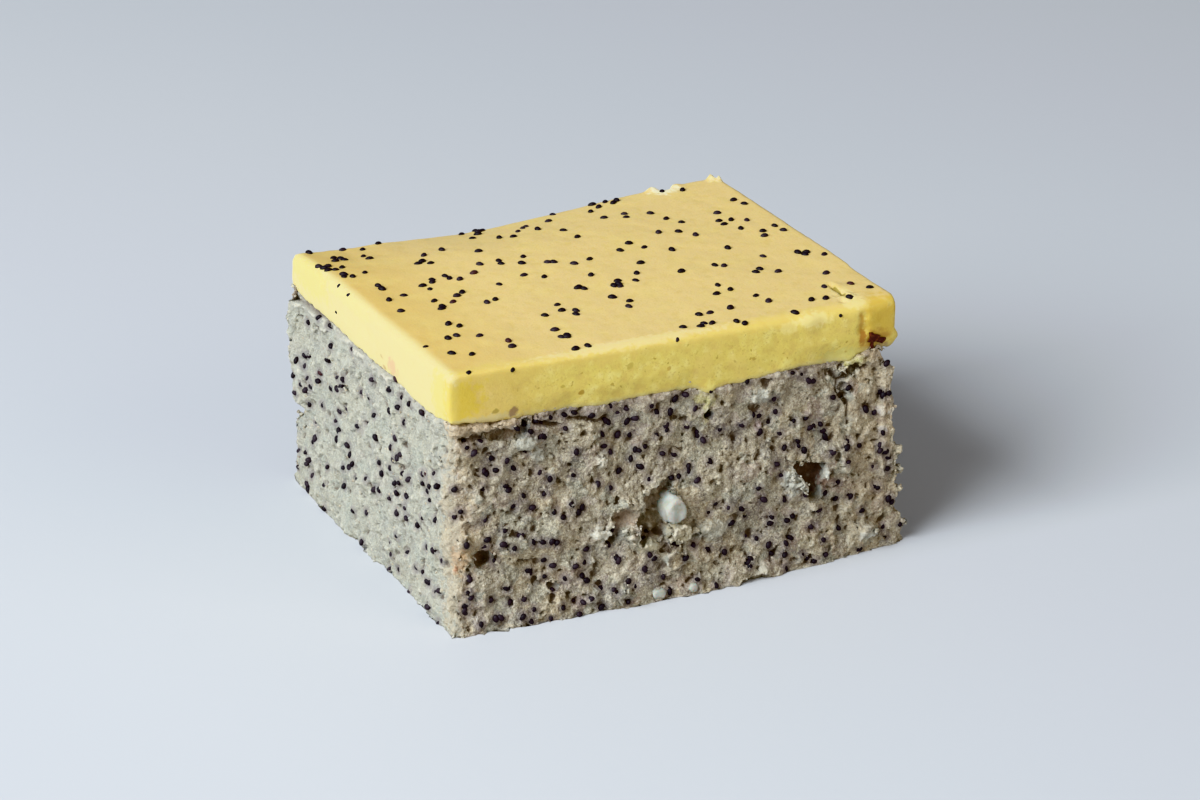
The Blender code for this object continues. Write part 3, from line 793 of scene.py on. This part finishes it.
bits = []
for proud, text in rows_of(ALMOND_BITS, 1):
    front = min(face_y(x, z) for x, z in outline_of(text))
    bits.append(prism(text, front + ALMOND_DEEP, front - proud, 0.92))
    edit(bits[-1])
    bpy.ops.mesh.bevel(offset=ALMOND_BEVEL * MM, segments=2, profile=0.5)
    leave_edit()
pick(*bits[::-1])
bpy.ops.object.join()
almond = bpy.context.object
almond.name = "almond_bits"
remesh(almond, 0.3)
displace(almond, texture("CLOUDS", 1.6), 0.7)
modify(almond, "DECIMATE", ratio=ALMOND_FACETS)
remesh(almond, 0.18, 4)
displace(almond, texture("CLOUDS", 0.6), 0.15)
places = read(almond)
places[:, 2] = np.maximum(places[:, 2], 0.0)
write(almond, places)
bpy.ops.object.shade_smooth()

# %% [markdown]
# ## The dark flake on the icing
# Near the right end a torn red-brown flake of seed pod is pressed into the icing's front. It is
# cut out in three thin arms, which are joined, laid on the slab, and roughened.

# %% Model the flake
FLAKE = (
    "705,363 713,362 718,334 716,331 712,332 710,346",
    "704,346 706,352 720,352 740,347 740,341 734,337 720,344",
    "711,361 718,358 729,353 726,349 712,353",
)
FLAKE_PROUD, FLAKE_SUNK = 0.28, 0.4

arms = [prism(text, FLAKE_SUNK, -FLAKE_PROUD) for text in FLAKE]
pick(*arms[::-1])
bpy.ops.object.join()
flake = bpy.context.object
flake.name = "pod_flake"
remesh(flake, 0.12)
places = read(flake)
for place in places:
    hit, front, *_ = slab.ray_cast(Vector((place[0], NEAR.y - 20 * MM, place[2])), (0, 1, 0))
    place[1] += front.y - NEAR.y if hit else 0.0
write(flake, places)
displace(flake, texture("CLOUDS", 0.6), 0.25)
modify(flake, "SMOOTH", factor=0.5, iterations=1)
bpy.ops.object.shade_smooth()

# %% [markdown]
# ## Colours
# Each material is built in layers, as a painter would: a base colour, and others laid over it
# where a pattern, a height or a place says so, all in real millimetres on the object.


# %% Helpers for colour
def rgb(code):
    """The linear colour of an sRGB hex code."""
    parts = [int(code[i : i + 2], 16) / 255 for i in (1, 3, 5)]
    return (*(c / 12.92 if c <= 0.04045 else ((c + 0.055) / 1.055) ** 2.4 for c in parts), 1.0)


def new_material(name):
    """An empty material, a way to add shader nodes to it, and the places that its patterns read."""
    material = bpy.data.materials.new(name)
    material.use_nodes = True
    material.node_tree.nodes.clear()

    def add(kind, values):
        return add_node(material.node_tree, "ShaderNode" + kind, values)

    return material, add, add("TexCoord", {})["Object"]


def pattern(size, where, **settings):
    """What a pattern node needs for features about size millimetres wide."""
    return {"Scale": 1 / (size * MM), "Vector": where, **settings}


def paint(add, base, layers):
    """Lays colours over one another, each as a value passes from one limit to the other."""
    for value, start, end, strength, colour in layers:
        steps = {"interpolation_type": "SMOOTHSTEP", "From Min": start, "From Max": end, "To Max": strength}
        mask = add("MapRange", {**steps, "Value": value})[0]
        base = add("Mix", {"data_type": "RGBA", 0: mask, 6: base, 7: rgb(colour)})[2]
    return base


def stains_and_painted_light(add, where, patches):
    """Layers for soft, ragged patches, both stains and painted light and shade. A row has its centre, half
    sizes, strength and colour.
    """
    ragged = add("TexNoise", pattern(0.9, where, Detail=3.0))[0]
    for x, y, z, *half_sizes, strength, colour in rows_of(patches, 7):
        away = add("VectorMath", {"operation": "SUBTRACT", 0: where, 1: at(x, y, z)})[0]
        scaled = add("VectorMath", {"operation": "DIVIDE", 0: away, 1: Vector(half_sizes) * MM})[0]
        reach = add("VectorMath", {"operation": "LENGTH", 0: scaled})[1]
        edge = add("Math", {"operation": "MULTIPLY_ADD", 0: ragged, 1: 2.0, 2: reach})[0]
        yield edge, 2.2, 1.6, strength, colour


def finish_material(add, colour, height, depth, **settings):
    """Adds a bump of a depth in millimetres, the shader and the output."""
    bump = add("Bump", {"Strength": 0.8, "Distance": depth * MM, "Height": height})[0]
    values = {name.replace("_", " "): value for name, value in settings.items()}
    shader = add("BsdfPrincipled", {"Base Color": colour, "Normal": bump, **values})
    add("OutputMaterial", {0: shader[0]})


# %% [markdown]
# ### The crumb
# Baked ground-almond and lemon sponge, torn by the knife: dull, dry and pale grey-beige, with no
# shine. Clumps and grains differ a little in colour, the gaps between them are brown with shade,
# and close to every seed the crumb is darker and faintly violet.


# %% The crumb's colours
def crumb_colours(add, where):
    """The layers that the block and its loose grains share."""
    wide, fine, shade, salt = (add("TexNoise", pattern(size, where))[0] for size in (9, 0.4, 3.7, 0.22))
    cells = []
    for size in (2.6, 0.9):
        cell = add("TexVoronoi", pattern(size, where))["Color"]
        cells.append(add("SeparateColor", {0: cell}))
    clump, lump = cells
    layers = (
        (wide, 0.42, 0.62, 0.8, "#9f8e71"),
        (clump[0], 0.55, 1.0, 0.55, "#bbb09a"),
        (clump[1], 0.5, 1.0, 0.6, "#8f9082"),
        (clump[2], 0.7, 1.0, 0.45, "#a38c82"),
        (shade, 0.5, 0.65, 0.5, "#756c68"),
        (lump[0], 0.5, 1.0, 0.35, "#c0b59e"),
        (lump[0], 0.35, 0.0, 0.3, "#7a6d58"),
        (fine, 0.5, 0.68, 0.5, "#cabfa2"),
        (fine, 0.46, 0.3, 0.5, "#675a4a"),
        (salt, 0.52, 0.7, 0.45, "#d6ccb4"),
        (salt, 0.46, 0.3, 0.35, "#675a4a"),
    )
    return paint(add, rgb("#9b8e78"), layers)


# The worn near corner, the moist lip, the caramel drip, icing dragged down by the knife, and pale
# bits of nut and flour. Painted light too: the hollows are painted darker brown as painted shade,
# and a warm tint over the right end is painted warm light from the right.
CRUMB_STAINS_AND_PAINTED_LIGHT = """
0.4 -0.4 17 3.6 3.6 20 0.4 #b39c7a
4 0.2 32.4 9 2.5 1.3 0.9 #b5a184
1 -1.2 11.8 1.9 2 2.6 0.4 #b0865c
0.7 -1.2 10.6 1 1.2 0.7 0.6 #9c5632
42.9 0 30.6 2 2 1.5 0.5 #bdb273
42.9 0 28.6 0.7 2 2.4 0.5 #b9b077
68.4 0.2 31.9 2.4 2.5 1.4 0.7 #c4bb77
76.4 1.5 15.6 1.2 3 1.8 0.8 #cfc3a8
76.8 1.5 3.2 1.8 3 1.8 0.8 #cfc3a8
76.6 1.5 9.1 0.9 3 0.8 0.8 #cfc3a8
73 -0.4 23 0.7 1.5 0.7 0.8 #cdc6b6
74.7 -0.2 22.6 0.8 1.5 0.6 0.8 #cdc6b6
73.5 -0.4 19.9 0.7 1.5 0.6 0.8 #cdc6b6
72 0.6 33.4 4.5 3 2.4 0.7 #a8967c
72 -0.8 18 5 5 20 0.3 #a8916f
5.2 -0.5 11.5 1.6 2.5 1.6 0.6 #6e5044
28.4 -1.5 13.8 2.4 2.5 1.2 0.5 #a08872
33 0.5 15.4 2.4 2.6 2.4 0.6 #7d6b58
33.2 0 11.8 2.6 2.6 2.2 0.6 #877558
61.3 2.2 14 4.2 2.6 4.6 0.85 #5d4439
63.6 -1.2 12.8 1.6 3 1.1 0.7 #9a8272
37.2 -2.6 10.2 2.2 2.2 2 0.8 #b9ad90
42.7 -2.6 9.6 3.6 1.6 1.8 0.6 #b5b1a0
32.3 -2.6 9.1 2 2.2 1.3 0.7 #b5aa8c
24.5 -2.6 12.2 2 2.2 1.2 0.9 #c8c1ae
57.3 -2.4 14.6 2.2 2.6 2.8 0.8 #bdb9a9
63.6 -2 14.3 1 2 1 0.8 #c4bfae
25.2 -0.6 23.8 1.2 1.5 1.3 0.8 #c6bda8
12.7 0 28.7 2.2 1.5 1.6 0.7 #b5b2a2
14.8 0 26.3 1.6 1.5 1.3 0.65 #b2af9f
52 0 28.8 1.9 1.5 1.5 0.65 #b6b4a6
52 -0.2 24.2 1.2 1.5 0.7 0.8 #c4b0a6
71 -1.8 2.9 1.6 2 1 0.7 #c4c0b2
51 -4 2.2 1.2 2 1.6 0.7 #beb6a2
"""

crumb_look, add, where = new_material("open seeded crumb")
wobble = add("TexNoise", pattern(1.5, where, Detail=2.0))["Color"]
bent = add("VectorMath", {"operation": "MULTIPLY_ADD", 0: wobble, 1: (1.2 * MM,) * 3, 2: where})[0]
kept = ("relief", "hollow", "cavity", "left_side", "below_seam", "to_seed")
relief_mm, hollow_mm, gap, left_side, under_icing, seed_gap = (
    add("Attribute", {"attribute_name": name})["Fac"] for name in kept
)
pores = add("TexNoise", pattern(0.3, where))[0]
beads = add("TexVoronoi", pattern(0.65, bent))["Distance"]
layers = (
    (under_icing, 1.8, 0.4, 0.45, "#a39282"),
    # The left face is tinted cool grey: painted cool window light.
    (left_side, 0.2, 0.8, 0.6, "#97988b"),
    # Deeper in the hollows the crumb is painted darker brown: painted shade.
    (hollow_mm, 1.1, 2.2, 0.7, "#8f7b67"),
    (hollow_mm, 2.3, 3.6, 0.8, "#5f4a3f"),
    *stains_and_painted_light(add, where, CRUMB_STAINS_AND_PAINTED_LIGHT),
    # Raised bumps are painted paler: a painted highlight.
    (gap, 0.7, 2.2, 0.4, "#cfc6b0"),
    (relief_mm, 0.15, 0.9, 0.2, "#cbc4b2"),
    # Close to each seed the crumb is darker and violet-grey.
    (seed_gap, 1.4, 0.6, 0.45, "#6a5d60"),
    # Low places and small gaps are painted darker brown: painted shade.
    (relief_mm, -0.6, -1.4, 0.6, "#5a493c"),
    (gap, -1.0, -2.6, 0.5, "#5a493c"),
)
colour = paint(add, crumb_colours(add, bent), layers)
grainy = add("Math", {"operation": "MULTIPLY_ADD", 0: beads, 1: -0.7, 2: pores})[0]
soft = dict(Subsurface_Weight=0.35, Subsurface_Radius=(1.0, 0.85, 0.65), Subsurface_Scale=0.7 * MM)
finish_material(add, colour, grainy, 0.3, Roughness=0.85, Specular_IOR_Level=0.25, **soft)

grain_look, add, where = new_material("loose cake grain")
tint = add("Attribute", {"attribute_name": "tint"})["Fac"]
pores = add("TexNoise", pattern(0.3, where))[0]
layers = (*stains_and_painted_light(add, where, CRUMB_STAINS_AND_PAINTED_LIGHT), (tint, 0.5, 1.0, 0.15, "#c4bdaa"))
colour = paint(add, crumb_colours(add, where), layers)
finish_material(add, colour, pores, 0.08, Roughness=0.9, Specular_IOR_Level=0.2)

# %% Blanched almond: white and faintly glassy, greyer and warmer where it broke
almond_look, add, where = new_material("broken blanched almond")
clouds = add("TexNoise", pattern(1.2, where))[0]
layers = ((clouds, 0.45, 0.65, 0.6, "#99937f"), (clouds, 0.45, 0.3, 0.6, "#b5b6ac"))
colour = paint(add, rgb("#aaa99c"), layers)
soft = dict(Subsurface_Weight=0.4, Subsurface_Scale=MM)
finish_material(add, colour, clouds, 0.15, Roughness=0.8, Specular_IOR_Level=0.2, **soft)

# %% Poppy seed coat: brown-black, with a fine honeycomb that breaks up its shine
seed_look, add, where = new_material("poppy seed coat")
tint = add("Attribute", {"attribute_name": "tint"})["Fac"]
colour = paint(add, rgb("#1c1214"), ((tint, 0.4, 1.0, 0.7, "#362a2e"), (tint, 0.98, 0.99, 0.4, "#4d241a")))
comb = add("TexVoronoi", pattern(0.16, where))["Distance"]
finish_material(add, colour, comb, 0.03, Roughness=0.6, Specular_IOR_Level=0.3)

# %% Torn seed pod: dark red-brown, paler at its edges
flake_look, add, where = new_material("torn seed pod")
clouds = add("TexNoise", pattern(0.5, where))[0]
colour = paint(add, rgb("#461a10"), ((clouds, 0.5, 0.7, 0.7, "#7a3f26"),))
finish_material(add, colour, clouds, 0.08, Roughness=0.6, Specular_IOR_Level=0.3)

# %% [markdown]
# ### The icing
# Lemon icing set to a soft satin, a little translucent. Its cut faces are lemon yellow with a few
# brown specks of zest, and its top has dried to a duller, tanned gold. The edge that the knife
# smeared is paler, partly smear and partly a painted highlight, and near the right end syrup has
# run down it.

# %% The icing's colours
# Smears, zest, the syrup streak and the flake's stain. Painted light too: a pale line along the left
# part of the front rim, partly smear and partly painted highlight, pale painted highlights beside
# the crack on the top, and a dark line in it that is painted shade.
ICING_STAINS_AND_PAINTED_LIGHT = """
1.2 0 36.8 4.5 2 4 0.6 #d6b93a
72.8 0.6 37.5 3.4 4 5 0.6 #cca73c
69.2 0.2 37 0.8 2 3.8 0.4 #bf9440
69.5 0.2 35.6 0.6 2 1.5 0.75 #9c5e24
69.3 0.2 37.8 0.4 2 2 0.45 #b58238
71.8 0.4 34.7 2.6 2.5 1.9 0.6 #b0803f
72.5 0.4 33 3 2.5 0.9 0.7 #b39d72
60.8 0.2 40 3.2 2 1.2 0.5 #efe09c
56.5 0.2 39.4 1.6 1.5 1 0.4 #ecda8e
68.6 2.5 41.2 2 5 1 0.6 #ecd993
66 0.2 33.2 4 2 1.2 0.5 #c4bb72
30 1.2 41.2 18 1.2 1 0.5 #ead69a
5 0 33.5 7 2 0.9 0.6 #c9b98a
0 20.2 35 2 2 1.6 0.65 #d8a880
0 3 37 2 3 5 0.5 #dfca58
0 52 38 2 8 3 0.5 #d9c868
0 36 39.5 2 9 1.2 0.4 #dfcf80
0 24.3 35.3 2 0.6 0.35 0.7 #a3814e
0 23.6 33.8 2 0.6 0.35 0.7 #a3814e
10.6 0 34 0.9 2 0.8 0.85 #8f7050
7.6 0 34.6 0.55 2 0.4 0.75 #9c8640
29.6 0 38 0.6 2 0.5 0.6 #b09844
36.2 0 36.4 0.4 2 0.4 0.6 #b48a34
68.45 6 41.2 0.4 3.2 1.5 0.9 #8f7a34
21.7 0 35.1 0.45 2 0.38 0.8 #a37f2e
18.5 0 36.6 0.4 2 0.25 0.6 #a8903c
64.6 57 41 2.6 2 1.2 0.8 #f2e6bd
74.4 57.4 42 1.8 1.8 1 0.6 #f2e2ae
"""

icing_look, add, where = new_material("set lemon icing")
normal = add("TexCoord", {})["Normal"]
upward = add("SeparateXYZ", {0: normal})[2]
along = add("SeparateXYZ", {0: where})[0]
rim = add("Attribute", {"attribute_name": "from_rim"})["Fac"]
above_seam = add("Attribute", {"attribute_name": "above_seam"})["Fac"]
wide, mid, fine, zest = (
    add("TexNoise", pattern(size, where, Detail=detail))[0]
    for size, detail in ((6, 2.0), (1.6, 4.0), (0.35, 2.0), (0.9, 1.0))
)
flat_top = add("Math", {"operation": "MULTIPLY_ADD", 0: mid, 1: 0.35, 2: upward})[0]
near_rim = add("Math", {"operation": "MULTIPLY_ADD", 0: mid, 1: 3.0, 2: rim})[0]
layers = (
    (wide, 0.4, 0.65, 0.5, "#d3bd57"),
    (mid, 0.5, 0.7, 0.65, "#e6d582"),
    (mid, 0.48, 0.3, 0.4, "#c6ac4c"),
    (fine, 0.45, 0.3, 0.35, "#c2aa48"),
    (zest, 0.7, 0.76, 0.7, "#a3842f"),
    (above_seam, 1.1, 0.0, 0.6, "#bcae82"),
    (flat_top, 0.85, 1.14, 1.0, "#dabc7a"),
    (along, NEAR.x + 22 * MM, NEAR.x + 2 * MM, 0.75, "#cfac5e"),
    (wide, 0.45, 0.7, 0.4, "#dec375"),
    (mid, 0.5, 0.3, 0.45, "#d0b266"),
    (fine, 0.45, 0.3, 0.4, "#c8aa60"),
    (near_rim, 4.0, 2.2, 0.7, "#d8bd66"),
    # The left face and its bevel are painted a paler cream: painted light from the window.
    (along, NEAR.x + 2.4 * MM, NEAR.x + 0.7 * MM, 0.9, "#dfcd8c"),
    *stains_and_painted_light(add, where, ICING_STAINS_AND_PAINTED_LIGHT),
)
colour = paint(add, rgb("#dac468"), layers)
rough = add("Math", {"operation": "MULTIPLY_ADD", 0: fine, 1: 0.5, 2: mid})[0]
soft = dict(Subsurface_Weight=0.15, Subsurface_Radius=(1.0, 0.7, 0.25), Subsurface_Scale=2.0 * MM)
finish_material(add, colour, rough, 0.07, Roughness=0.5, Specular_IOR_Level=0.35, **soft)

# %% [markdown]
# ## Dress and attach the pieces
# Each piece gets its material and rides on the part's one body, and the two imported solids are
# hidden.

# %% Dress and attach
crumb_slot, icing_slot = "seeded_crumb", "lemon_icing"
for piece, look, slot in (
    (crumb, crumb_look, crumb_slot),
    (crumb_seeds, seed_look, crumb_slot),
    (crumb_grains, grain_look, crumb_slot),
    (almond, almond_look, crumb_slot),
    (slab, icing_look, icing_slot),
    (top_seeds, seed_look, icing_slot),
    (flake, flake_look, icing_slot),
):
    piece.data.materials.clear()
    piece.data.materials.append(look)
    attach(piece, "root")
    print(piece.name, sum(len(face.vertices) - 2 for face in piece.data.polygons), "triangles")
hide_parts("crumb_base")
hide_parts("lemon_icing")
for helper in (seed, grain, crumb_landings, slab_landings, sunk_landings):
    bpy.data.objects.remove(helper)

# %% [markdown]
# ## Floor, light and camera
# A plain pale floor, a large soft light from the left, as from a window, a weak warm one from
# the right, and a long lens that looks down on the near corner.

# %% Lay the floor
pick()
bpy.ops.mesh.primitive_plane_add(size=4, location=(0, 0, 0))
floor = bpy.context.object
floor.name = "floor"
floor_look, add, where = new_material("pale matt floor")
clouds = add("TexNoise", pattern(3, where))[0]
finish_material(add, rgb("#c4c3c2"), clouds, 0.02, Roughness=0.7)
floor.data.materials.append(floor_look)

# %% Light it softly
for name, place, size, watts, colour in (
    ("window", (-1.0, -0.28, 0.78), 0.8, 34, (0.85, 0.94, 1.05)),
    ("warm fill", (0.7, -1.1, 0.6), 0.9, 4.6, (1.0, 0.93, 0.82)),
):
    light = new_object(name, bpy.data.lights.new(name, "AREA"))
    light.data.energy, light.data.size, light.data.color = watts, size, colour
    light.location = place
    light.rotation_euler = (Vector((0, 0, 0.02)) - light.location).to_track_quat("-Z", "Y").to_euler()
world = bpy.data.worlds.new("soft room")
bpy.context.scene.world = world
world.use_nodes = True
colour, strength = world.node_tree.nodes["Background"].inputs[:2]
colour.default_value, strength.default_value = (0.85, 0.9, 1.0, 1), 0.27

# %% Set the camera
TURN, FALL, ROLL = math.radians(63.222), math.radians(23.48), math.radians(0.878)

camera = new_object("camera", bpy.data.cameras.new("camera"))
camera.data.lens, camera.data.sensor_width = 120, 36
turns = ((TURN - math.pi / 2, "Z"), (math.pi / 2 - FALL, "X"), (ROLL, "Z"))
camera.matrix_world = Matrix.Translation(at(*EYE))
for angle, axis in turns:
    camera.matrix_world @= Matrix.Rotation(angle, 4, axis)
bpy.context.scene.camera = camera
bpy.context.scene.view_settings.view_transform = "Khronos PBR Neutral"
